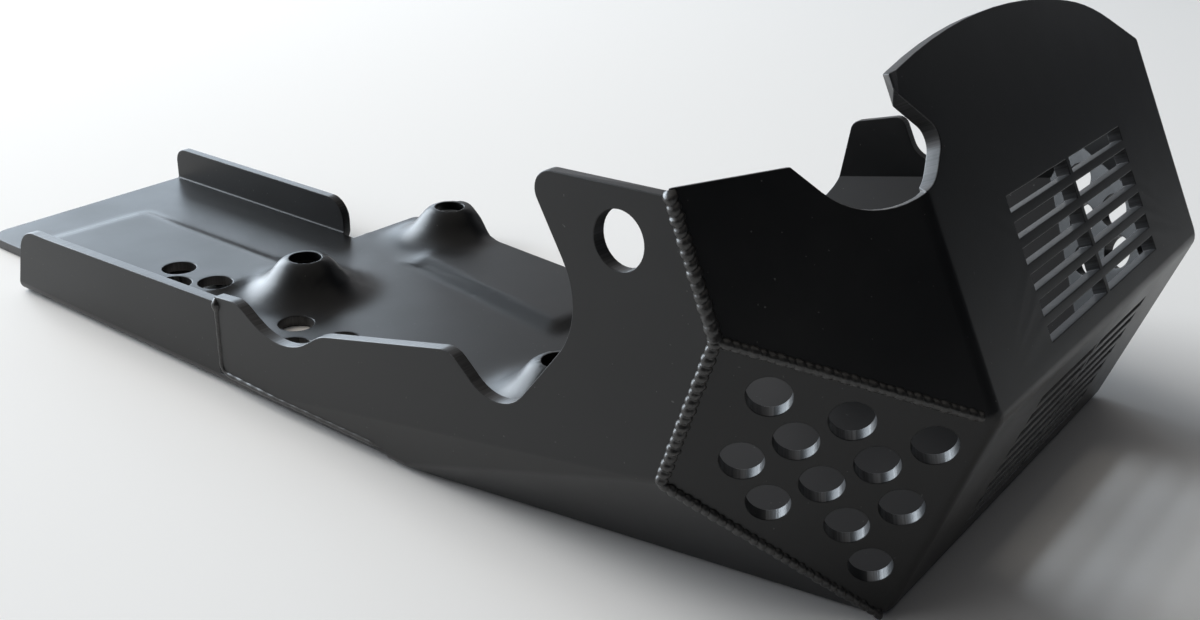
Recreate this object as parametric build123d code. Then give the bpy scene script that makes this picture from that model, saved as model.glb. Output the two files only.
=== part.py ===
from build123d import *
import math
import os

os.makedirs("parts", exist_ok=True)

# Sheet metal, all sizes in millimetres
sheet = 4.8
bend_outer = 6.0
bend_inner = bend_outer - sheet
reach = 300.0
drill_length = 20 * sheet
overrun = 20.0

# Nose, measured from the fold between the two front panels; forward is X, up is Z, right is -Y
front_half_width = 100.0
fold_height = 78.5
floor_setback = 25.7
top_setback = 35.8
top_height = 149.0
corner_setback = 67.8
corner_half_width = front_half_width + 44.0
corner_height = 99.2
horn_seam_height = 137.5

# Right side plate and its lower chamfer
chamfer_height = 47.2
flange_half_width = corner_half_width - 11.4
joint_x = -311.5
kink_x = -213.6
seam_height = bend_outer
big_hole_x = -103.2
big_hole_height = 119.2
big_hole_radius = 9.3

# Left side plate and its wider chamfer
left_half_width = corner_half_width - 2.3
left_chamfer_height = 77.0
left_end_x = -177.0
left_end_height = 56.0
left_rear_x = -182.0
left_seam_height = 88.0

# Tongue and its upturned flanges
tongue_rear_x = -540.0
tongue_skew = 4.0
tongue_right_y = -109.0
right_flange_rear_x = -472.0
right_flange_height = 38.0
right_flange_rear_height = 34.0
left_flange_y = 19.7
left_flange_height = 23.0
left_flange_front_x = -400.0
relief_width = 9.0
lug_rear_x = left_flange_front_x + relief_width
lug_y = 61.0
lug_front_x = -343.5
throat_x = -325.0
throat_y = 54.5
cutout_y = 100.0

# Pressed bosses and drain holes in the floor
boss_height = 16.6
boss_top_radius = 11.5
boss_foot = 17.0
boss_slope = math.radians(52)
boss_toe = math.radians(4)
boss_hole_radius = 7.6
rear_boss_x = -354.9
rear_boss_y = 49.3
front_boss_x = -192.5
front_boss_y = 57.0
pad_height = 3.0
pad_taper = 62.0
left_pad_y = 90.0
right_pad_rear_x = -506.0
right_pad_front_x = -375.0
right_pad_right_y = -104.0
right_pad_left_y = -33.0
drain_radius = 8.1
drain_row_y = -76.5
drain_second_row_y = -89.5

# Grilles and perforations
slot_first = 8.3
slot_pitch = 8.33
slot_height = 5.1
slot_half_span = 52.7
slot_half_rib = 1.5
lower_slot_first = 12.0
lower_slot_pitch = 7.5
lower_slot_height = 4.2
hole_radius = 6.8
hole_pitch = 24.7
hole_row = 12.4
hole_first_along = 20.3
hole_first_down = 13.3

# Weld beads
bead_radius = 2.8
bead_sink = 1.0
joint_bead_radius = 2.0
joint_bead_sink = 0.8
corner_run = 0.93
chamfer_run = 0.97


def outline(corners):
    """Closed wire through corners given as (u, v, radius), each corner rounded by its radius."""
    edges = []
    last_end = None
    first_start = None
    count = len(corners)
    for i in range(count):
        before = Vector(*corners[i - 1][:2])
        here = Vector(*corners[i][:2])
        after = Vector(*corners[(i + 1) % count][:2])
        radius = corners[i][2]
        back = (before - here).normalized()
        ahead = (after - here).normalized()
        if radius > 0:
            half_angle = math.acos(max(-1.0, min(1.0, back.dot(ahead)))) / 2
            cut = radius / math.tan(half_angle)
            start = here + back * cut
            end = here + ahead * cut
            to_middle = (back + ahead).normalized()
            middle = here + to_middle * (radius / math.sin(half_angle) - radius)
        else:
            start = here
            end = here
        if last_end is None:
            first_start = start
        elif (start - last_end).length > 0.001:
            edges.append(Edge.make_line(last_end, start))
        if radius > 0:
            edges.append(Edge.make_three_point_arc(start, middle, end))
        last_end = end
    if (first_start - last_end).length > 0.001:
        edges.append(Edge.make_line(last_end, first_start))
    return Wire(edges)


def prism(corners, plane, low, high):
    """Outline on a plane, drawn out from low to high along the plane's normal."""
    return Solid.extrude(plane.offset(low) * Face(outline(corners)), plane.z_dir * (high - low))


side_view = Plane(origin=(0, 0, 0), x_dir=(1, 0, 0), z_dir=(0, -1, 0))
front_view = Plane(origin=(0, 0, 0), x_dir=(0, 1, 0), z_dir=(1, 0, 0))
plan_view = Plane.XY


def outward(a, b, c):
    """Plane through three points, facing away from the middle of the nose."""
    middle = Vector((kink_x - corner_setback) / 2, 0, fold_height / 2)
    plane = Plane(origin=a, z_dir=(b - a).cross(c - a))
    if (middle - a).dot(plane.z_dir) > 0:
        plane = -plane
    return plane


def meet(p, q, r):
    """Point shared by three planes."""
    a, b, c = p.z_dir, q.z_dir, r.z_dir
    volume = a.dot(b.cross(c))
    total = b.cross(c) * a.dot(p.origin) + c.cross(a) * b.dot(q.origin) + a.cross(b) * c.dot(r.origin)
    return total * (1 / volume)


def level(height):
    return Plane(origin=(0, 0, height), z_dir=(0, 0, 1))


# Corner points and panel planes of the nose
fold_r = Vector(0, -front_half_width, fold_height)
fold_l = Vector(0, front_half_width, fold_height)
floor_r = Vector(-floor_setback, -front_half_width, 0)
floor_l = Vector(-floor_setback, front_half_width, 0)
top_r = Vector(-top_setback, -front_half_width, top_height)
top_l = Vector(-top_setback, front_half_width, top_height)
corner_r = Vector(-corner_setback, -corner_half_width, corner_height)
corner_l = Vector(-corner_setback, corner_half_width, corner_height)
joint_r = Vector(joint_x, -flange_half_width, 0)
kink_r = Vector(kink_x, -flange_half_width, 0)

upper_front = outward(fold_r, fold_l, top_r)
lower_front = outward(fold_r, fold_l, floor_r)
floor = outward(floor_r, floor_l, kink_r)
cheek_r = outward(fold_r, top_r, corner_r)
cheek_l = outward(fold_l, top_l, corner_l)
perforated_r = outward(fold_r, floor_r, corner_r)
perforated_l = outward(fold_l, floor_l, corner_l)
side_r = outward(corner_r, joint_r, joint_r + Vector(0, 0, reach))
toe_in = (corner_half_width - flange_half_width) / (-corner_setback - joint_x)
left_front = Vector(-corner_setback, left_half_width, corner_height)
left_back = Vector(joint_x, left_half_width - toe_in * (-corner_setback - joint_x), corner_height)
side_l = outward(left_front, left_back, left_back + Vector(0, 0, reach))
chamfer_r = meet(side_r, perforated_r, level(chamfer_height))
lower_facet_r = outward(chamfer_r, kink_r, floor_r)
rear_facet_r = outward(chamfer_r, kink_r, joint_r)
chamfer_l = meet(side_l, perforated_l, level(left_chamfer_height))
left_end = meet(side_l, level(left_end_height), Plane(origin=(left_end_x, 0, 0), z_dir=(1, 0, 0)))
facet_l = outward(chamfer_l, left_end, floor_l)

pan_planes = [upper_front, lower_front, floor, cheek_r, cheek_l, perforated_r, perforated_l]
side_planes = [side_r, lower_facet_r, rear_facet_r, side_l, facet_l]


def hull(pan_depth, side_depth):
    """Convex body bounded by the panel planes, each moved in by the given depth."""
    body = Pos(-0.7 * reach, 0, 0) * Box(2 * reach, 2 * reach, 2 * reach)
    for plane in pan_planes:
        body = split(body, bisect_by=plane.offset(-pan_depth), keep=Keep.BOTTOM)
    for plane in side_planes:
        body = split(body, bisect_by=plane.offset(-side_depth), keep=Keep.BOTTOM)
    return body.solids()[0]


def nearer(panel):
    """Space that lies nearer to a pan panel than to any side plane, so that seams are mitred."""
    body = Box(4 * reach, 4 * reach, 4 * reach)
    for side in side_planes:
        across = side.z_dir - panel.z_dir
        offset = side.origin.dot(side.z_dir) - panel.origin.dot(panel.z_dir)
        mitre = Plane(origin=across * (offset / across.dot(across)), z_dir=across)
        body = split(body, bisect_by=mitre, keep=Keep.BOTTOM)
    return body.solids()[0]


core = hull(bend_outer, bend_outer)
outer = core.offset_3d(None, bend_outer)
inner = core.offset_3d(None, bend_inner)
shell = outer - inner
pan_space = nearer(pan_planes[0])
for panel in pan_planes[1:]:
    pan_space = pan_space + nearer(panel)

# Right side plate
right_corners = [
    (joint_x, -overrun, 0),
    (joint_x, 40.2, 0),
    (-296.9, 41.9, 12),
    (-269.4, 26.7, 33),
    (-244.7, 43.7, 20),
    (-174.5, 61.4, 10),
    (-151.0, 42.5, 16.5),
    (-114.1, 91.1, 28),
    (-141.0, 133.5, 6.4),
    (-corner_setback, horn_seam_height, 0),
    (reach, horn_seam_height, 0),
    (reach, -overrun, 0),
]
side_sheets = shell - pan_space
right_side = side_sheets & prism(right_corners, side_view, 0, reach)
big_hole = meet(side_r, level(big_hole_height), Plane(origin=(big_hole_x, 0, 0), z_dir=(1, 0, 0)))
right_side = right_side - Plane(origin=big_hole, z_dir=side_r.z_dir) * Cylinder(big_hole_radius, drill_length)
lip_box = Box(
    kink_x - joint_x, reach, seam_height + overrun, align=(Align.MIN, Align.MAX, Align.MAX)
)
lip_zone = Pos(joint_x, 0, seam_height) * lip_box
right_side = right_side - lip_zone

# Left side plate
left_corners = [
    (left_rear_x, -overrun, 0),
    (left_rear_x, 38, 10),
    (-172.3, 55, 20),
    (-168.1, 86.2, 5),
    (-143.5, 93.1, 5),
    (-133.6, 73.2, 12),
    (-corner_setback, left_seam_height, 0),
    (reach, left_seam_height, 0),
    (reach, -overrun, 0),
]
left_side = side_sheets & prism(left_corners, side_view, -reach, 0)

# Nose of the pan: arched top edge, exhaust notch at the right, sloping top edges of the cheeks
arch_end = front_half_width + 30.0
arch_corners = [
    (-arch_end, 100.6, 0),
    (5.8 - front_half_width, 102.3, 0),
    (-25.9, 116.6, 340),
    (60.0, 100.4, 130),
    (arch_end, 64.9, 0),
    (arch_end, reach, 0),
    (-arch_end, reach, 0),
]
notch_end = -front_half_width - 15.0
notch_top = 104.0
notch_corners = [
    (notch_end, 67.2, 0),
    (7.5 - front_half_width, 68.9, 16),
    (21.0 - front_half_width, 81.0, 5.5),
    (0.4 - front_half_width, 97.8, 4),
    (-1.2 - front_half_width, notch_top, 0),
    (notch_end, notch_top, 0),
]
right_cheek_corners = [
    (-reach, 21.6, 0),
    (-61.8, 69.7, 1),
    (-39.9, 53.6, 23),
    (-24.1, 63.8, 0),
    (-113.3, reach, 0),
    (-reach, reach, 0),
]
left_cheek_corners = [
    (27.6, 72.0, 0),
    (reach, -177.5, 0),
    (reach, reach, 0),
    (113.3, reach, 0),
]
grille = Plane(origin=(0, 0, fold_height), x_dir=(0, 1, 0), z_dir=upper_front.z_dir)
lower_grille = Plane(origin=(0, 0, fold_height), x_dir=(0, 1, 0), z_dir=lower_front.z_dir)
up = Vector(0, 0, 1)
right_cheek_view = Plane(origin=fold_r, x_dir=up.cross(cheek_r.z_dir), z_dir=cheek_r.z_dir)
left_cheek_view = Plane(origin=fold_l, x_dir=up.cross(cheek_l.z_dir), z_dir=cheek_l.z_dir)
cut_depth = sheet + bend_inner
nose = shell & pan_space
nose = split(nose, bisect_by=Plane(origin=(joint_x, 0, 0), z_dir=(1, 0, 0)), keep=Keep.TOP)
nose = split(nose, bisect_by=level(1.4 * top_height), keep=Keep.BOTTOM)
nose = nose - prism(arch_corners, grille, -cut_depth, cut_depth)
nose = nose - prism(notch_corners, grille, -cut_depth, cut_depth)
nose = nose - prism(right_cheek_corners, right_cheek_view, -2 * cut_depth, cut_depth)
nose = nose - prism(left_cheek_corners, left_cheek_view, -2 * cut_depth, cut_depth)

# Tongue plate and flanges, the right one running on as a low lip under the side plate
right_edge = bend_outer - flange_half_width
left_edge = left_flange_y - bend_outer
nose = nose - Pos(0, right_edge, 0) * lip_zone
tongue_corners = [
    (kink_x, right_edge, 0),
    (right_flange_rear_x, right_edge, 0),
    (right_flange_rear_x, tongue_right_y, 5),
    (tongue_rear_x + tongue_skew, tongue_right_y, 12),
    (tongue_rear_x - tongue_skew, left_edge, 0),
    (lug_rear_x, left_edge, 0),
    (lug_rear_x, lug_y, 5),
    (lug_front_x, lug_y, 4),
    (throat_x, throat_y, 20),
    (kink_x, 46.0, 0),
]
tongue = prism(tongue_corners, plan_view, 0, sheet)
right_section = [
    (right_edge, 0, 0),
    (-flange_half_width, 0, bend_outer),
    (-flange_half_width, 2 * right_flange_height, 0),
    (sheet - flange_half_width, 2 * right_flange_height, 0),
    (sheet - flange_half_width, sheet, bend_inner),
    (right_edge, sheet, 0),
]
right_flange = prism(right_section, front_view, right_flange_rear_x, kink_x)
right_flange_corners = [
    (right_flange_rear_x, -overrun, 0),
    (right_flange_rear_x + 16, right_flange_rear_height, 14),
    (-435.0, right_flange_rear_height, 0),
    (joint_x, right_flange_height, 0),
    (joint_x, seam_height, 0),
    (kink_x, seam_height, 0),
    (kink_x, -overrun, 0),
]
right_flange = right_flange & prism(right_flange_corners, side_view, 0, reach)
left_section = [
    (left_edge, 0, 0),
    (left_flange_y, 0, bend_outer),
    (left_flange_y, 2 * left_flange_height, 0),
    (left_flange_y - sheet, 2 * left_flange_height, 0),
    (left_flange_y - sheet, sheet, bend_inner),
    (left_edge, sheet, 0),
]
left_flange = prism(left_section, front_view, tongue_rear_x - tongue_skew, left_flange_front_x)
left_flange_corners = [
    (tongue_rear_x - tongue_skew, -overrun, 0),
    (tongue_rear_x - tongue_skew, left_flange_height, 8),
    (left_flange_front_x, left_flange_height, 12),
    (left_flange_front_x, -overrun, 0),
]
left_flange = left_flange & prism(left_flange_corners, side_view, -reach, reach)

pan = nose + tongue + right_flange + left_flange

# Open cut-out at the left of the floor
cutout_corners = [
    (left_rear_x, reach, 0),
    (left_rear_x, cutout_y, 0),
    (-205.0, cutout_y, 14),
    (-258.0, 48.0, 25),
    (throat_x, throat_y, 20),
    (lug_front_x, lug_y, 4),
    (lug_rear_x, lug_y, 5),
    (lug_rear_x, left_edge, 2),
    (left_flange_front_x, left_edge, 2),
    (left_flange_front_x, reach, 0),
]
cutout = prism(cutout_corners, plan_view, -overrun, 3 * overrun)

# Pressed bosses and raised pads
foot_height = boss_foot * (math.cos(boss_toe) - math.cos(boss_slope))
foot_start = Vector(boss_top_radius + (boss_height - foot_height) / math.tan(boss_slope), 0, foot_height)
foot_axis = foot_start + Vector(math.sin(boss_slope), 0, math.cos(boss_slope)) * boss_foot
foot_turn = (boss_slope + boss_toe) / 2
foot_middle = foot_axis - Vector(math.sin(foot_turn), 0, math.cos(foot_turn)) * boss_foot
foot_end = foot_axis - Vector(math.sin(boss_toe), 0, math.cos(boss_toe)) * boss_foot
boss_profile = Wire([
    Edge.make_line((0, 0, 0), foot_end),
    Edge.make_three_point_arc(foot_end, foot_middle, foot_start),
    Edge.make_line(foot_start, (boss_top_radius, 0, boss_height)),
    Edge.make_line((boss_top_radius, 0, boss_height), (0, 0, boss_height)),
    Edge.make_line((0, 0, boss_height), (0, 0, 0)),
])
boss = Solid.revolve(Face(boss_profile), 360, Axis.Z)
hollow_top_radius = boss_top_radius - sheet * math.tan(boss_slope / 2)
hollow_base_radius = hollow_top_radius + boss_height / math.tan(boss_slope)
hollow = Cone(
    hollow_base_radius, hollow_top_radius, boss_height, align=(Align.CENTER, Align.CENTER, Align.MIN)
)
boss_places = [
    (rear_boss_x, -rear_boss_y),
    (rear_boss_x, rear_boss_y),
    (front_boss_x, -front_boss_y),
    (front_boss_x, front_boss_y),
]
left_pad_corners = [
    (-344.0, 8.0, 0),
    (-232.0, -12.0, 0),
    (-220.0, left_pad_y, 0),
    (-372.0, left_pad_y, 0),
]
right_pad_corners = [
    (right_pad_rear_x, right_pad_right_y, 0),
    (right_pad_front_x, right_pad_right_y, 0),
    (right_pad_front_x, right_pad_left_y, 0),
    (right_pad_rear_x, right_pad_left_y, 0),
]
pads = extrude(Face(outline(left_pad_corners)), amount=pad_height, taper=pad_taper)
pads = pads + extrude(Face(outline(right_pad_corners)), amount=pad_height, taper=pad_taper)
raised = pads
sunk = pads
for x, y in boss_places:
    raised = raised + Pos(x, y, 0) * boss
    sunk = sunk + Pos(x, y, 0) * hollow
pan = pan + Pos(0, 0, sheet) * raised
pan = pan - sunk - cutout

# Holes in the floor
for x, y in boss_places:
    pan = pan - Pos(x, y, 0) * Cylinder(boss_hole_radius, drill_length)
drain_places = [
    (-417.0, drain_row_y),
    (-389.0, drain_row_y),
    (-328.6, drain_row_y - 2),
    (-300.0, drain_row_y),
    (-403.0, drain_second_row_y),
    (-343.0, drain_second_row_y - 8),
    (-312.0, drain_second_row_y - 5),
]
for x, y in drain_places:
    pan = pan - Pos(x, y, 0) * Cylinder(drain_radius, drill_length)

# Grille slots in the two front panels
slot_width = slot_half_span - slot_half_rib
slot_middle = (slot_half_span + slot_half_rib) / 2
for i in range(6):
    for side in (-1, 1):
        place = Pos(side * slot_middle, slot_first + i * slot_pitch + slot_height / 2, 0)
        pan = pan - grille * place * Box(slot_width, slot_height, drill_length)
for i in range(8):
    for side in (-1, 1):
        place = Pos(side * slot_middle, -lower_slot_first - i * lower_slot_pitch - lower_slot_height / 2, 0)
        pan = pan - lower_grille * place * Box(slot_width, lower_slot_height, drill_length)

# Round perforations in the corner panels
lattice_r = Plane(origin=corner_r, x_dir=fold_r - corner_r, z_dir=perforated_r.z_dir)
hole_cells = [(0, 0), (1, 0), (2, 0), (0.5, 1), (1.5, 1), (1, 2), (2, 2)]
right_only_cells = [(0, 2), (0.5, 3), (1.5, 3), (2, 4)]
for column, row in hole_cells + right_only_cells:
    place = Pos(hole_first_along + column * hole_pitch, -hole_first_down - row * hole_row, 0)
    drill = lattice_r * place * Cylinder(hole_radius, drill_length)
    pan = pan - drill
    if (column, row) in hole_cells:
        pan = pan - mirror(drill, about=Plane.XZ)


def rod(first, second, radius):
    """Round rod between two points."""
    along = second - first
    return Plane(origin=first, z_dir=along) * Cylinder(
        radius, along.length, align=(Align.CENTER, Align.CENTER, Align.MIN)
    )


def bead(first, second, plane_a, plane_b, taken):
    """Round bead lying along the seam of two panels, sunk a little below the seam line."""
    inward = (plane_a.z_dir + plane_b.z_dir).normalized() * -bead_sink
    run = rod(first + inward, second + inward, bead_radius) - outer
    run = split(run, bisect_by=level(0), keep=Keep.TOP)
    for other in taken:
        run = run - other
    return run.solids().sort_by(SortBy.VOLUME)[-1]


horn_r = meet(side_r, cheek_r, level(horn_seam_height))
seam_r = meet(side_r, cheek_r, perforated_r)
seam_l = meet(side_l, cheek_l, perforated_l)
nodes = {"pan": pan, "right_side": right_side, "left_side": left_side}
nodes["weld_right_cheek"] = bead(horn_r, seam_r, side_r, cheek_r, [])
right_taken = [nodes["weld_right_cheek"]]
nodes["weld_right_perforated"] = bead(seam_r, chamfer_r, side_r, perforated_r, right_taken)
right_taken.append(nodes["weld_right_perforated"])
nodes["weld_right_corner"] = bead(
    seam_r, seam_r + (fold_r - seam_r) * corner_run, cheek_r, perforated_r, right_taken
)
nodes["weld_right_chamfer"] = bead(
    chamfer_r, chamfer_r + (floor_r - chamfer_r) * chamfer_run, lower_facet_r, perforated_r, right_taken
)
nodes["weld_left_perforated"] = bead(seam_l, chamfer_l, side_l, perforated_l, [])
left_taken = [nodes["weld_left_perforated"]]
nodes["weld_left_corner"] = bead(
    seam_l, seam_l + (fold_l - seam_l) * corner_run, cheek_l, perforated_l, left_taken
)
nodes["weld_left_chamfer"] = bead(
    chamfer_l, chamfer_l + (floor_l - chamfer_l) * chamfer_run, facet_l, perforated_l, left_taken
)

# Smooth bead down the joint with the tongue flange and along the floor lip
joint_end = Plane(origin=(joint_x, 0, 0), z_dir=(1, 0, 0))
kink_end = Plane(origin=(kink_x, 0, 0), z_dir=(1, 0, 0))
joint_stops = [
    meet(side_r, joint_end, level(right_flange_height + joint_bead_radius / 2)),
    meet(side_r, joint_end, level(seam_height)),
    meet(side_r, rear_facet_r, level(seam_height)),
    meet(rear_facet_r, kink_end, level(seam_height)),
]
joint_stops = [stop + Vector(0, joint_bead_sink, 0) for stop in joint_stops]
joint_run = Pos(joint_stops[0]) * Sphere(joint_bead_radius)
for i in range(len(joint_stops) - 1):
    joint_run = joint_run + rod(joint_stops[i], joint_stops[i + 1], joint_bead_radius)
    joint_run = joint_run + Pos(joint_stops[i + 1]) * Sphere(joint_bead_radius)
joint_run = joint_run - outer - pan - right_side
nodes["weld_right_joint"] = joint_run.solids().sort_by(SortBy.VOLUME)[-1]

# Origin at the bottom centre of the whole plate
box = Compound([n for n in nodes.values()]).bounding_box()
home = Pos(-box.center().X, -box.center().Y, -box.min.Z)
for name, piece in nodes.items():
    export_step(home * piece, "parts/" + name + ".step")
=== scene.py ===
import bpy
import bmesh
import math
from mathutils import Matrix, Vector
from mathutils.bvhtree import BVHTree


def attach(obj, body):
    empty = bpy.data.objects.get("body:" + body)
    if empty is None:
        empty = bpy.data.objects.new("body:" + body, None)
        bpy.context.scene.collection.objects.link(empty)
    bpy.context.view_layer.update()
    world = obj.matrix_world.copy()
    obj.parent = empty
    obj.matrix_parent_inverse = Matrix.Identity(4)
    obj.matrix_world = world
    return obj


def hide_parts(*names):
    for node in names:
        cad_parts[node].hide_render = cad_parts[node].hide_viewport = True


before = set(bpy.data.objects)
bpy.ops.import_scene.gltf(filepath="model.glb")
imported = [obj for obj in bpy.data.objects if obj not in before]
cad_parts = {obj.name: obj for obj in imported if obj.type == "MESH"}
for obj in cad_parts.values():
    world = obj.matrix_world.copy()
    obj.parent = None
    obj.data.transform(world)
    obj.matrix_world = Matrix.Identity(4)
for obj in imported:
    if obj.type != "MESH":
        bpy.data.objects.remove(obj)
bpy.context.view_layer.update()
scene = bpy.context.scene
sameSpot = 0.000002     # points nearer to each other than this, in metres, are one point
print("frame loaded:", len(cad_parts), "nodes")

coatFinish = {
    "colour": (0.0032, 0.0033, 0.0038, 1.0),
    "faded": (0.0056, 0.0056, 0.0057, 1.0),
    "roughness": (0.33, 0.40),
    "shine": 0.38,
    "grain": 0.0005,            # size of the powder grain, in metres
    "grainDetail": 2.0,
    "grainDepth": 0.000012,
    "patch": 0.045,             # size of the handling marks
    "patchDetail": 4.0,
    "patchRough": 0.6,
    "patchRange": (0.3, 0.7),   # noise levels where a mark begins and where it is full
    "speck": 0.0011,            # spacing scale of the dust specks
    "speckRange": (0.85, 0.88),
    "dust": (0.060, 0.060, 0.058, 1.0),
}

cutFinish = {
    # the cut edges are painted lighter than the coat, a painted sheen; the lighter streaks follow
    # the real drag lines
    "colour": (0.020, 0.020, 0.0205, 1.0),
    "paintedSheen": (0.055, 0.055, 0.057, 1.0),
    "roughness": 0.36,
    "stripe": 0.0006,           # width of the drag lines across a cut edge
    "stripeDetail": 2.0,
    "stripeRange": (0.35, 0.7),
    "stripeDepth": 0.00006,
}

beadFinish = {
    # the bead is painted lighter than the coat as a painted highlight; its grain is real wear,
    # lightened further as painted sheen
    "colour": (0.013, 0.0128, 0.0125, 1.0),
    "wornAndPaintedSheen": (0.040, 0.038, 0.036, 1.0),
    "roughness": 0.29,
    "grain": 0.0010,
    "grainDetail": 3.0,
    "grainRange": (0.35, 0.7),
    "grainDepth": 0.00003,
}


def newMaterial(name):
    material = bpy.data.materials.new(name)
    material.use_nodes = True
    tree = material.node_tree
    return material, tree, tree.nodes["Principled BSDF"]


def noiseNode(tree, vector, size, detail, rough=0.5):
    noise = tree.nodes.new("ShaderNodeTexNoise")
    noise.inputs["Scale"].default_value = 1.0 / size
    noise.inputs["Detail"].default_value = detail
    noise.inputs["Roughness"].default_value = rough
    tree.links.new(vector, noise.inputs["Vector"])
    return noise.outputs["Fac"]


def rangeNode(tree, value, source, target=(0.0, 1.0)):
    node = tree.nodes.new("ShaderNodeMapRange")
    node.inputs["From Min"].default_value, node.inputs["From Max"].default_value = source
    node.inputs["To Min"].default_value, node.inputs["To Max"].default_value = target
    tree.links.new(value, node.inputs["Value"])
    return node.outputs["Result"]


def mixColours(tree, factor, first, second):
    node = tree.nodes.new("ShaderNodeMix")
    node.data_type = "RGBA"
    firstColour, secondColour = node.inputs[6], node.inputs[7]     # the colour sockets
    secondColour.default_value = second
    if isinstance(first, tuple):
        firstColour.default_value = first
    else:
        tree.links.new(first, firstColour)
    tree.links.new(factor, node.inputs["Factor"])
    return node.outputs[2]      # the colour result


def bumpNode(tree, height, distance):
    node = tree.nodes.new("ShaderNodeBump")
    node.inputs["Distance"].default_value = distance
    tree.links.new(height, node.inputs["Height"])
    return node.outputs["Normal"]


def makeCoat(finish):
    material, tree, shader = newMaterial("satinBlackCoat")
    place = tree.nodes.new("ShaderNodeTexCoord").outputs["Object"]
    patches = noiseNode(tree, place, finish["patch"], finish["patchDetail"], finish["patchRough"])
    grain = noiseNode(tree, place, finish["grain"], finish["grainDetail"])
    specks = noiseNode(tree, place, finish["speck"], 0.0)
    marked = rangeNode(tree, patches, finish["patchRange"])
    dusty = rangeNode(tree, specks, finish["speckRange"])
    satin = rangeNode(tree, patches, finish["patchRange"], finish["roughness"])
    shade = mixColours(tree, marked, finish["colour"], finish["faded"])
    shade = mixColours(tree, dusty, shade, finish["dust"])
    tree.links.new(shade, shader.inputs["Base Color"])
    tree.links.new(satin, shader.inputs["Roughness"])
    tree.links.new(bumpNode(tree, grain, finish["grainDepth"]), shader.inputs["Normal"])
    shader.inputs["Specular IOR Level"].default_value = finish["shine"]
    return material


def makeCutEdge(finish):
    material, tree, shader = newMaterial("coatedCutEdge")
    place = tree.nodes.new("ShaderNodeTexCoord").outputs["Object"]
    across = tree.nodes.new("ShaderNodeAttribute")
    across.attribute_name = "acrossSheet"
    through = tree.nodes.new("ShaderNodeVectorMath")     # the part that runs through the sheet
    through.operation = "PROJECT"
    tree.links.new(place, through.inputs[0])
    tree.links.new(across.outputs["Vector"], through.inputs[1])
    level = tree.nodes.new("ShaderNodeVectorMath")       # the place without that part
    level.operation = "SUBTRACT"
    tree.links.new(place, level.inputs[0])
    tree.links.new(through.outputs["Vector"], level.inputs[1])
    # lighter streaks along the real drag lines, on an edge already painted lighter than the coat:
    # painted sheen
    stripes = noiseNode(tree, level.outputs["Vector"], finish["stripe"], finish["stripeDetail"])
    sheenOnDragLines = rangeNode(tree, stripes, finish["stripeRange"])
    shade = mixColours(tree, sheenOnDragLines, finish["colour"], finish["paintedSheen"])
    tree.links.new(shade, shader.inputs["Base Color"])
    tree.links.new(bumpNode(tree, stripes, finish["stripeDepth"]), shader.inputs["Normal"])
    shader.inputs["Roughness"].default_value = finish["roughness"]
    return material


def makeBeadCoat(finish):
    material, tree, shader = newMaterial("coatedBead")
    place = tree.nodes.new("ShaderNodeTexCoord").outputs["Object"]
    grain = noiseNode(tree, place, finish["grain"], finish["grainDetail"])
    # lighter grain on the bead: real wear, lightened as a painted highlight
    wearAndPaintedSheen = rangeNode(tree, grain, finish["grainRange"])
    shade = mixColours(tree, wearAndPaintedSheen, finish["colour"], finish["wornAndPaintedSheen"])
    tree.links.new(shade, shader.inputs["Base Color"])
    tree.links.new(bumpNode(tree, grain, finish["grainDepth"]), shader.inputs["Normal"])
    shader.inputs["Roughness"].default_value = finish["roughness"]
    return material


coatMaterial = makeCoat(coatFinish)
cutMaterial = makeCutEdge(cutFinish)
beadMaterial = makeBeadCoat(beadFinish)
print("finishes made")

sheetBuild = {
    "pieces": {"pan": "panSheet", "right_side": "rightSidePlate", "left_side": "leftSidePlate"},
    "thickness": (0.0036, 0.0095),   # a sheet face has its back this far behind it, a cut edge not
    "facing": 0.6,                   # and the back faces the other way by at least this
    "inset": 0.00005,                # the probe for the back starts this far below the face
    "flat": math.radians(0.5),       # faces that turn by less than this become one face
    "sharp": math.radians(38),       # edges that turn by less than this are bends
    "round": 0.00035,                # radius that the coat leaves on a cut edge
    "segments": 2,
    "touch": 0.00005,                # edges this near to another sheet lie in a seam, unrounded
    "groove": 0.0008,                # except along the smooth joint, which has an open groove
    "grooveReach": 0.0024,
    "stray": 0.0005,                 # a corner further off the sheet than this is drawn back to it
    "sliver": 0.000004,              # edges shorter than this are closed up
    "bendWeight": 60,                # how far the larger faces lead the shading at a bend
    "panelWeight": 100,              # and on the plain panels
}

trayBuild = {
    "along": (-0.2530, 0.1420),      # stretch of the floor that the presses reach
    "across": (-0.1170, 0.0950),
    "flange": (-0.1230, 0.0070),     # behind this line and left of this line stands the left flange
    "thickness": 0.0048,
    "skin": 0.0001,                  # slack for a point that lies on the floor
    "level": 0.99,                  # upright part of a normal on the flat floor
    "slope": 0.2,                    # and on the steepest wall of a boss
    "highest": 0.0225,               # the bosses end below this
    "cell": 0.0030,                  # size of the grid that takes the presses
    "spread": 0.0024,                # how far the press rounds a crease
    "flare": 0.0075,                 # how far the floor is drawn up round the foot of a boss
    "bosses": ((-0.0827, 0.0504), (-0.0827, -0.0482), (0.0797, 0.0581), (0.0797, -0.0559)),
    "bossReach": 0.046,              # the flare ends this far from the middle of a boss
    "flareFade": (0.55, 0.90),       # whole share of a patch where the flare begins and is full
    "rings": ((0.45, 8), (0.9, 12), (1.35, 16), (1.8, 20)),     # reach and count of the samples
    "probe": 0.06,                   # the samples are taken from this far above or below
    "even": 0.000001,                # a patch with less relief than this is flat
    "narrow": 0.0001,                # samples with a smaller determinant lie on a line
}


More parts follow.
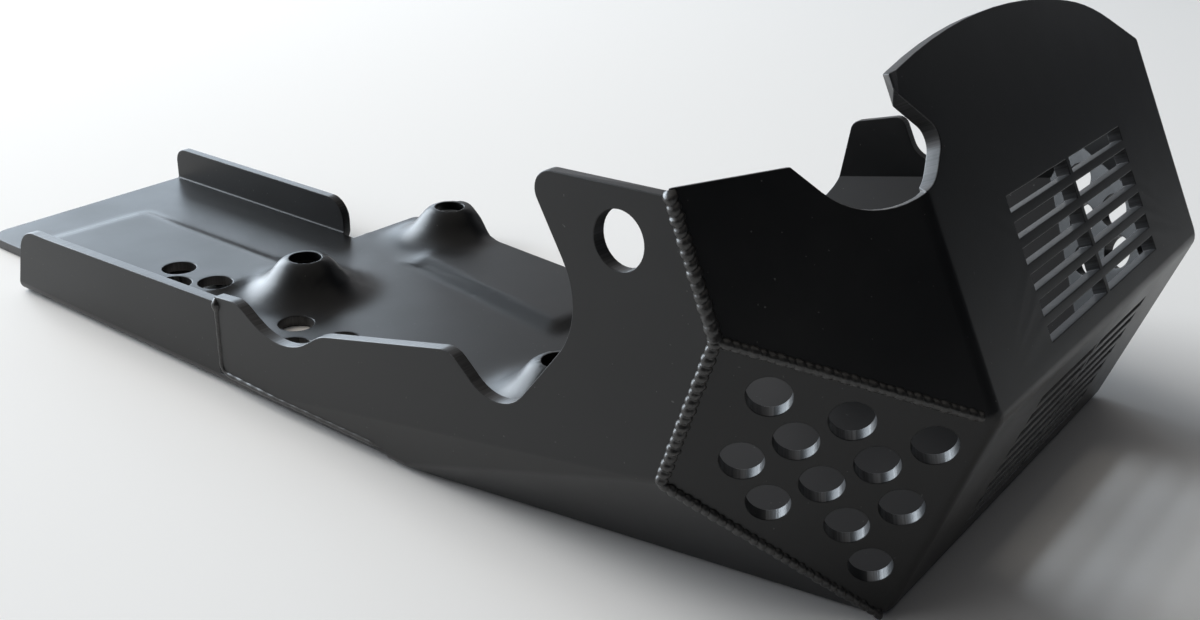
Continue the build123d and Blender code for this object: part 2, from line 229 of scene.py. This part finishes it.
def finishPiece(bm, name, materials, nodeNames):
    mesh = bpy.data.meshes.new(name)
    bm.to_mesh(mesh)
    bm.free()
    piece = bpy.data.objects.new(name, mesh)
    scene.collection.objects.link(piece)
    for material in materials:
        mesh.materials.append(material)
    mesh.polygons.foreach_set("use_smooth", [True] * len(mesh.polygons))
    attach(piece, "root")
    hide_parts(*nodeNames)
    return piece


def copyNode(nodeName):
    bm = bmesh.new()
    bm.from_mesh(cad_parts[nodeName].data)
    bmesh.ops.remove_doubles(bm, verts=bm.verts, dist=sameSpot)
    return bm


def nodeTree(nodeName):
    bm = copyNode(nodeName)
    tree = BVHTree.FromBMesh(bm)
    bm.free()
    return tree


def inOrder(items):
    return list(dict.fromkeys(items))      # each item once, in the same order at every run


sheetTrees = {nodeName: nodeTree(nodeName) for nodeName in sheetBuild["pieces"]}
jointTree = nodeTree("weld_right_joint")


def markCutEdges(bm, build):
    tree = BVHTree.FromBMesh(bm)
    near, far = build["thickness"]
    across = bm.faces.layers.float_vector.new("acrossSheet")
    for face in bm.faces:
        start = face.calc_center_median() - face.normal * build["inset"]
        hit, normal, index, depth = tree.ray_cast(start, -face.normal)
        hasBack = hit is not None and normal.dot(face.normal) < -build["facing"]
        face.material_index = 0 if hasBack and near < depth < far else 1
    cutFaces = [face for face in bm.faces if face.material_index == 1]
    for face in cutFaces:
        beside = [other for edge in face.edges for other in edge.link_faces]
        sides = [other.normal for other in beside if other.material_index == 0]
        if sides:
            face[across] = max(sides, key=lambda n: 1 - abs(n.dot(face.normal)))
        else:
            face[across] = face.normal
    for face in [face for face in cutFaces if face[across] == face.normal]:
        beside = [other for edge in face.edges for other in edge.link_faces]
        sides = [other[across] for other in beside if other is not face]
        face[across] = sides[0] if sides else face.normal


def onTray(point, build):
    behind, left = build["flange"]
    rear, front = build["along"]
    right, far = build["across"]
    inside = rear < point.x < front and right < point.y < far
    return inside and not (point.x < behind and point.y > left)


def floorFaces(bm, steep, build):
    lying = [f for f in bm.faces if abs(f.normal.z) > steep]
    return [f for f in lying if f.calc_center_median().z < build["highest"]]


def trayFaces(bm, steep, build):
    return [f for f in floorFaces(bm, steep, build) if onTray(f.calc_center_median(), build)]


def flattenTray(bm, build, flat):
    faces = trayFaces(bm, build["slope"], build)
    for face in faces:
        height = build["thickness"] if face.normal.z > 0 else 0.0
        for v in face.verts:
            v.co.z = height
    bm.normal_update()
    edges = inOrder(e for f in faces for e in f.edges)
    verts = inOrder(v for f in faces for v in f.verts)
    bmesh.ops.dissolve_limit(bm, angle_limit=flat, verts=verts, edges=edges)


def cutFloor(bm, faces, axis, cut):
    crossed = []
    for face in faces:
        runs = [v.co.dot(axis) for v in face.verts]
        if min(runs) < cut < max(runs):
            crossed.append(face)
    edges = inOrder(e for f in crossed for e in f.edges)
    verts = inOrder(v for f in crossed for v in f.verts)
    bmesh.ops.bisect_plane(
        bm, geom=verts + edges + crossed, dist=sameSpot, plane_co=axis * cut, plane_no=axis,
    )


def gridTray(bm, build):
    ahead = Vector((1, 0, 0))
    sideways = Vector((0, 1, 0))
    borders = [(ahead, cut) for cut in (*build["along"], build["flange"][0])]
    borders += [(sideways, cut) for cut in (*build["across"], build["flange"][1])]
    for axis, cut in borders:      # first the outline of the pressed stretch, over the whole floor
        cutFloor(bm, floorFaces(bm, build["level"], build), axis, cut)
    for axis, (low, high) in ((ahead, build["along"]), (sideways, build["across"])):
        steps = round((high - low) / build["cell"])
        for i in range(1, steps):
            cutFloor(bm, trayFaces(bm, build["level"], build), axis, low + (high - low) * i / steps)


def patchSamples(rings):
    samples = [(0.0, 0.0, 1.0)]
    for reach, count in rings:
        weight = math.exp(-reach * reach / 2)
        for i in range(count):
            angle = 2 * math.pi * (i + reach) / count
            samples.append((reach * math.cos(angle), reach * math.sin(angle), weight))
    return samples


def softHeight(tree, point, fromAbove, samples, spread, build):
    turn = -1.0 if fromAbove else 1.0
    heights = []
    for dx, dy, weight in samples:
        origin = Vector((point.x + dx * spread, point.y + dy * spread, -turn * build["probe"]))
        hit, normal, index, depth = tree.ray_cast(origin, Vector((0, 0, turn)))
        if hit is not None and -normal.z * turn > build["slope"] and hit.z < build["highest"]:
            heights.append((dx, dy, weight, hit.z))
    whole = len(heights) / len(samples)
    if not heights:
        return None, 0.0
    if max(h[3] for h in heights) - min(h[3] for h in heights) < build["even"]:
        return heights[0][3], whole
    total = Matrix(((0, 0, 0), (0, 0, 0), (0, 0, 0)))
    pull = Vector((0, 0, 0))
    for dx, dy, weight, z in heights:      # plane of best fit, so that an edge doesn't sag
        row = Vector((1.0, dx, dy))
        for i in range(3):
            total[i] += row * (row[i] * weight)
        pull += row * (z * weight)
    if abs(total.determinant()) < build["narrow"]:
        return sum(h[2] * h[3] for h in heights) / sum(h[2] for h in heights), whole
    return (total.inverted() @ pull).x, whole


def flareLift(tree, point, samples, build):
    away = min(math.hypot(point.x - x, point.y - y) for x, y in build["bosses"])
    if away >= build["bossReach"]:
        return 0.0
    crisp, whole = softHeight(tree, point, True, samples, build["spread"], build)
    drawn, whole = softHeight(tree, point, True, samples, build["flare"], build)
    if crisp is None or drawn is None:
        return 0.0
    begin, full = build["flareFade"]      # less of a flare where an edge or a hole cuts the patch
    return max(0.0, drawn - crisp) * min(1.0, max(0.0, (whole - begin) / (full - begin)))


def pressTray(bm, tree, build):
    samples = patchSamples(build["rings"])
    top = build["thickness"] + build["skin"]
    low = [f for f in bm.faces if f.calc_center_median().z < top + build["skin"]]
    for v in inOrder(v for f in low for v in f.verts):
        if v.co.z > top or not onTray(v.co, build):
            continue
        above = v.co.z > build["thickness"] / 2
        height, whole = softHeight(tree, v.co, above, samples, build["spread"], build)
        if height is not None:
            height += flareLift(tree, v.co, samples, build)
            v.co.z = max(0.0, v.co.z + height - (build["thickness"] if above else 0.0))


def bevelEdges(bm, edges, offset, segments):
    bmesh.ops.bevel(
        bm, geom=edges, offset=offset, offset_type="OFFSET", segments=segments, profile=0.5,
        affect="EDGES", clamp_overlap=False, material=-1, loop_slide=False,
    )
    bm.normal_update()


def allNear(tree, points, reach):
    return all(tree.find_nearest(p)[3] < reach for p in points)


def sortEdges(bm, others, build):
    free, seam, joint = [], [], []
    for edge in bm.edges:
        if not edge.is_manifold or edge.calc_face_angle(0) < build["sharp"]:
            continue
        first, last = edge.verts[0].co, edge.verts[1].co
        points = (first, (first + last) / 2, last)
        if not any(allNear(tree, points, build["touch"]) for tree in others):
            free.append(edge)
        elif allNear(jointTree, points, build["grooveReach"]):
            joint.append(edge)
        else:
            seam.append(edge)
    return free, seam, joint


def roundEdges(bm, nodeName, build):
    others = [tree for name, tree in sheetTrees.items() if name != nodeName]
    free, seam, joint = sortEdges(bm, others, build)
    if joint:
        bevelEdges(bm, joint, build["groove"], build["segments"])
        free, seam, joint = sortEdges(bm, others, build)
    for edge in seam + joint:
        edge.smooth = False
    bevelEdges(bm, free, build["round"], build["segments"])
    for v in bm.verts:      # a rounding that runs past a blunt corner is drawn back onto the sheet
        near, normal, index, gap = sheetTrees[nodeName].find_nearest(v.co)
        if gap > build["stray"] and not onTray(v.co, trayBuild):
            v.co = near


def evenShading(piece, mode, weight, group):
    weighted = piece.modifiers.new("evenShading", "WEIGHTED_NORMAL")
    weighted.mode = mode
    weighted.weight = weight
    weighted.keep_sharp = True
    weighted.vertex_group = group


def makeSheet(nodeName, pieceName, build):
    bm = copyNode(nodeName)
    bmesh.ops.dissolve_limit(bm, angle_limit=build["flat"], verts=bm.verts, edges=bm.edges)
    bmesh.ops.triangulate(bm, faces=[f for f in bm.faces if len(f.verts) > 4])
    markCutEdges(bm, build)
    if nodeName == "pan":
        flattenTray(bm, trayBuild, build["flat"])
    roundEdges(bm, nodeName, build)
    if nodeName == "pan":
        bm.normal_update()
        gridTray(bm, trayBuild)
        pressTray(bm, sheetTrees[nodeName], trayBuild)
    for v in bm.verts:
        v.co.z = max(v.co.z, 0.0)
    bmesh.ops.dissolve_degenerate(bm, dist=build["sliver"], edges=bm.edges)
    bmesh.ops.triangulate(bm, faces=[f for f in bm.faces if len(f.verts) > 4])
    groups = bm.verts.layers.deform.verify()
    for v in bm.verts:
        if not (onTray(v.co, trayBuild) and v.co.z < trayBuild["highest"]):
            v[groups][0] = 1.0
    materials = [coatMaterial, cutMaterial]
    piece = finishPiece(bm, pieceName, materials, [nodeName])
    piece.vertex_groups.new(name="flatPanels")
    evenShading(piece, "FACE_AREA_WITH_ANGLE", build["bendWeight"], "")
    evenShading(piece, "FACE_AREA", build["panelWeight"], "flatPanels")     # flat up to their bends
    return piece


for nodeName, pieceName in sheetBuild["pieces"].items():
    sheetPiece = makeSheet(nodeName, pieceName, sheetBuild)
    print("sheet made:", pieceName, len(sheetPiece.data.polygons), "faces")

rippleBuild = {
    "sides": 20,
    "rings": 8,                     # rings in one ripple
    "lowest": 0.0002,               # no bead reaches below this
    "lap": 0.0008,                  # how far the beads run into each other at a corner
    "tip": 0.3,                     # size of the first and the last ring
    "creaseSway": (0.18, 1.9),      # share and pace by which the creases differ
    "sizeSway": (0.06, 2.4),        # and the sizes of the ripples
    "rounds": 80,                   # rounds in which the run of a seam is found
    "ways": 72,                     # directions tried for the open side of a seam
    "probe": 0.008,                 # and how far out they are tried
    # name, radius, ripple pitch, depth of the creases at both ends, lean of the ripples, sink
    "beads": {
        "weld_right_cheek": ("beadRightCheek", 0.0025, 0.0031, 0.66, 0.30, 0.0012, 0.0),
        "weld_right_perforated": ("beadRightPerforated", 0.0024, 0.0031, 0.62, 0.60, 0.0004, 0.0),
        "weld_right_corner": ("beadRightCorner", 0.0019, 0.0026, 0.34, 0.26, 0.0009, 0.0006),
        "weld_right_chamfer": ("beadRightChamfer", 0.0020, 0.0031, 0.66, 0.62, 0.0010, 0.0004),
        "weld_left_perforated": ("beadLeftPerforated", 0.0024, 0.0031, 0.60, 0.55, 0.0004, 0.0),
        "weld_left_corner": ("beadLeftCorner", 0.0019, 0.0026, 0.34, 0.26, 0.0009, 0.0006),
        "weld_left_chamfer": ("beadLeftChamfer", 0.0020, 0.0031, 0.62, 0.58, 0.0010, 0.0004),
    },
}


def seamLine(nodeName, rounds):
    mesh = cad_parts[nodeName].data
    points = [v.co.copy() for v in mesh.vertices]
    faces = [(face.center.copy(), face.normal.copy(), face.area) for face in mesh.polygons]
    whole = sum(area for centre, normal, area in faces)
    middle = sum((centre * area for centre, normal, area in faces), Vector()) / whole
    along = max(((p - middle) for p in points), key=lambda v: v.length).normalized()
    for turn in range(rounds):      # the run of a bead is square to nearly all of its faces
        slants = [normal * (normal.dot(along) * area) for centre, normal, area in faces]
        along -= sum(slants, Vector()) / whole
        along.normalize()
    return middle, along, points


def outwardAt(point, along, build):
    side = along.orthogonal().normalized()
    best = (0.0, side)
    for i in range(build["ways"]):      # the way from the seam that leads furthest from every sheet
        way = Matrix.Rotation(2 * math.pi * i / build["ways"], 3, along) @ side
        spot = point + way * build["probe"]
        room = min(tree.find_nearest(spot)[3] for tree in sheetTrees.values())
        best = max(best, (room, way), key=lambda pair: pair[0])
    return best[1]


def drawBead(rings, sides):
    bm = bmesh.new()
    verts = bmesh.ops.create_circle(bm, cap_ends=True, radius=1.0, segments=sides)["verts"]
    base = [v.co.copy() for v in verts]
    edges = list(bm.edges)
    for k, (centre, shape, radius, lean) in enumerate(rings):
        if k > 0:
            grown = bmesh.ops.extrude_edge_only(bm, edges=edges)["geom"]
            verts = [g for g in grown if isinstance(g, bmesh.types.BMVert)]
            edges = [g for g in grown if isinstance(g, bmesh.types.BMEdge)]
        for v, b in zip(verts, base):
            v.co = centre + shape @ Vector((b.x * radius, b.y * radius, lean * max(0.0, b.y)))
    bmesh.ops.holes_fill(bm, edges=[e for e in bm.edges if e.is_boundary], sides=0)
    bmesh.ops.recalc_face_normals(bm, faces=bm.faces)
    return bm


def makeRippledBead(nodeName, settings, build):
    pieceName, radius, pitch, firstCrease, lastCrease, lean, sink = settings
    creaseShare, creasePace = build["creaseSway"]
    sizeShare, sizePace = build["sizeSway"]
    middle, along, points = seamLine(nodeName, build["rounds"])
    if along.z > 0:
        along = -along
    outward = outwardAt(middle, along, build)
    sideways = along.cross(outward).normalized()
    top = max((p - middle).dot(outward) for p in points)
    low = min((p - middle).dot(along) for p in points) - build["lap"]
    high = max((p - middle).dot(along) for p in points) + build["lap"]
    start = middle + outward * (top - radius - sink)
    shape = Matrix((sideways, outward, along)).transposed()
    count = max(3, round((high - low) / pitch))
    step = (high - low) / count
    rings = [(start + along * low, shape, radius * build["tip"], 0.0)]
    for i in range(count):
        crease = firstCrease + (lastCrease - firstCrease) * i / (count - 1)
        crease *= 1.0 + creaseShare * math.sin(i * creasePace + len(nodeName))
        size = 1.0 - sizeShare + sizeShare * math.sin(i * sizePace + len(nodeName))
        for j in range(build["rings"]):
            share = (j + 0.5) / build["rings"]
            swell = math.sqrt(1.0 - crease * (2.0 * share - 1.0) ** 2)
            run = min(low + (i + share) * step, high - lean)
            rings.append((start + along * run, shape, radius * size * swell, lean))
    rings.append((start + along * high, shape, radius * build["tip"], 0.0))
    bm = drawBead(rings, build["sides"])
    for v in bm.verts:
        v.co.z = max(v.co.z, build["lowest"])
    return finishPiece(bm, pieceName, [beadMaterial], [nodeName])


for nodeName, settings in rippleBuild["beads"].items():
    beadPiece = makeRippledBead(nodeName, settings, rippleBuild)
    print("bead made:", beadPiece.name, len(beadPiece.data.polygons), "faces")

jointBuild = {
    "cadRadius": 0.0020,
    "radius": 0.0013,
    "depth": 0.0006,        # how far the middle of the bead lies below the sheet
    "shift": -0.0005,       # the bead lies to the rear of the groove's middle
    "turn": 0.0050,         # radius of the turn into the floor edge
    "turnSteps": 6,
    "step": 0.0010,
    "blob": (0.4, 1.0, 1.5, 1.75, 1.7, 1.4, 1.1),   # swelling at its start on top of the flange
    "sway": (0.06, 0.9),    # share and pace by which the bead swells along its run
    "tip": (0.3, 0.1),      # size of the last ring, and growth of the rings before it
    "outside": -0.25,       # the skin of the sheets is sought from here, out on the right
    "sides": 14,
}


def jointStations(build):
    points = [v.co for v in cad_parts["weld_right_joint"].data.vertices]
    back = min(p.x for p in points) + build["cadRadius"]
    front = max(p.x for p in points) - build["cadRadius"]
    top = max(p.z for p in points) - build["cadRadius"] / 2
    foot = min(p.z for p in points) + build["cadRadius"]
    turn = build["turn"]
    down = Vector((0, 0, -1))
    ahead = Vector((1, 0, 0))
    stations = []
    drop = top - foot - turn
    for i in range(round(drop / build["step"])):
        stations.append((Vector((back, 0, top - i * build["step"])), down))
    for i in range(build["turnSteps"] + 1):
        angle = math.pi / 2 * i / build["turnSteps"]
        centre = Vector((back + turn, 0, foot + turn))
        place = centre + Vector((-math.cos(angle), 0, -math.sin(angle))) * turn
        stations.append((place, down * math.cos(angle) + ahead * math.sin(angle)))
    for i in range(1, round((front - back - turn) / build["step"])):
        stations.append((Vector((back + turn + i * build["step"], 0, foot)), ahead))
    return stations


def makeJointBead(build):
    rings = []
    stations = jointStations(build)
    blob = build["blob"]
    swayShare, swayPace = build["sway"]
    tipSize, tipGrowth = build["tip"]
    outward = Vector((0, -1, 0))
    for i, (place, along) in enumerate(stations):
        ray = Vector((place.x, build["outside"], min(place.z, stations[len(blob)][0].z)))
        hits = [sheetTrees[name].ray_cast(ray, -outward)[0] for name in ("right_side", "pan")]
        skin = min(hit.y for hit in hits if hit is not None)
        sideways = along.cross(outward)
        shape = Matrix((sideways, outward, along)).transposed()
        swell = blob[i] if i < len(blob) else 1.0 + swayShare * math.sin(i * swayPace)
        taper = min(1.0, tipSize + tipGrowth * (len(stations) - 1 - i))
        centre = Vector((place.x, skin + build["depth"], place.z)) + sideways * build["shift"]
        rings.append((centre, shape, build["radius"] * swell * taper, 0.0))
    bm = drawBead(rings, build["sides"])
    return finishPiece(bm, "beadRightJoint", [beadMaterial], ["weld_right_joint"])


jointPiece = makeJointBead(jointBuild)
print("bead made:", jointPiece.name, len(jointPiece.data.polygons), "faces")

studio = {
    "floorColour": (0.86, 0.855, 0.845, 1.0),
    "floorRoughness": 0.9,
    "floorShine": 0.1,
    "floorSize": 30.0,
    "floorHeight": -0.0003,     # just clear of the plate's underside
    "room": (0.027, 0.030, 0.037, 1.0),
    # bearing, distance, height, height of the aim, width and height, power, colour, shows in gloss
    "lamps": {
        "windowLamp": (184, 5.0, 1.84, 1.84, (4.70, 3.50), 530.0, (0.82, 0.91, 1.0), True),
        "lowLeftLamp": (148, 5.2, 1.45, 1.45, (1.90, 2.70), 56.0, (0.76, 0.88, 1.0), True),
        "leftWallLamp": (124, 5.6, 2.60, 2.60, (4.10, 3.60), 26.0, (0.98, 0.98, 1.0), True),
        "rightWallLamp": (230, 5.2, 2.20, 2.20, (4.20, 3.20), 56.0, (0.98, 0.98, 1.0), True),
        "frontWallLamp": (80, 5.2, 1.40, 1.40, (2.40, 1.40), 4.0, (0.96, 0.98, 1.0), True),
        "ceilingLamp": (180, 0.2, 2.60, 0.00, (4.00, 4.00), 14.0, (1.0, 0.95, 0.88), True),
        "softBox": (195, 1.6, 1.90, 0.00, (2.20, 2.20), 30.0, (1.0, 0.92, 0.82), False),
    },
}


def makeFloor(settings):
    bm = bmesh.new()
    bmesh.ops.create_grid(bm, x_segments=1, y_segments=1, size=settings["floorSize"] / 2)
    mesh = bpy.data.meshes.new("paleFloor")
    bm.to_mesh(mesh)
    bm.free()
    floor = bpy.data.objects.new("paleFloor", mesh)
    floor.location.z = settings["floorHeight"]
    scene.collection.objects.link(floor)
    material, tree, shader = newMaterial("palePaper")
    shader.inputs["Base Color"].default_value = settings["floorColour"]
    shader.inputs["Roughness"].default_value = settings["floorRoughness"]
    shader.inputs["Specular IOR Level"].default_value = settings["floorShine"]
    mesh.materials.append(material)


def addLamp(name, bearing, distance, height, aim, size, power, colour, inGloss):
    lamp = bpy.data.lights.new(name, "AREA")
    lamp.shape = "RECTANGLE"
    lamp.size, lamp.size_y = size
    lamp.energy = power
    lamp.color = colour
    holder = bpy.data.objects.new(name, lamp)
    scene.collection.objects.link(holder)
    turn = math.radians(bearing)
    holder.location = (distance * math.cos(turn), distance * math.sin(turn), height)
    towards = Vector((0.0, 0.0, aim)) - holder.location
    holder.rotation_euler = towards.to_track_quat("-Z", "Y").to_euler()
    holder.visible_glossy = inGloss


makeFloor(studio)
for lampName, settings in studio["lamps"].items():
    addLamp(lampName, *settings)

world = bpy.data.worlds.new("room")
scene.world = world
world.use_nodes = True
world.node_tree.nodes["Background"].inputs["Color"].default_value = studio["room"]
world.node_tree.nodes["Background"].inputs["Strength"].default_value = 1.0

cameraSet = {
    "place": (0.375265, -0.423084, 0.250386),
    "right": (0.79185383, 0.61014746, 0.02622179),
    "down": (0.26401211, -0.30328811, -0.91559485),
    "lens": 39.10,
    "sensor": 36.0,
    "clip": (0.01, 100.0),
}


def addCamera(settings):
    right = Vector(settings["right"]).normalized()
    up = -Vector(settings["down"]).normalized()
    back = right.cross(up).normalized()
    turn = Matrix((right, up, back)).transposed()
    camera = bpy.data.objects.new("photoCamera", bpy.data.cameras.new("photoCamera"))
    scene.collection.objects.link(camera)
    camera.matrix_world = Matrix.Translation(settings["place"]) @ turn.to_4x4()
    camera.data.lens = settings["lens"]
    camera.data.sensor_width = settings["sensor"]
    camera.data.clip_start, camera.data.clip_end = settings["clip"]
    scene.camera = camera


addCamera(cameraSet)
scene.view_settings.view_transform = "Standard"
print("studio set")
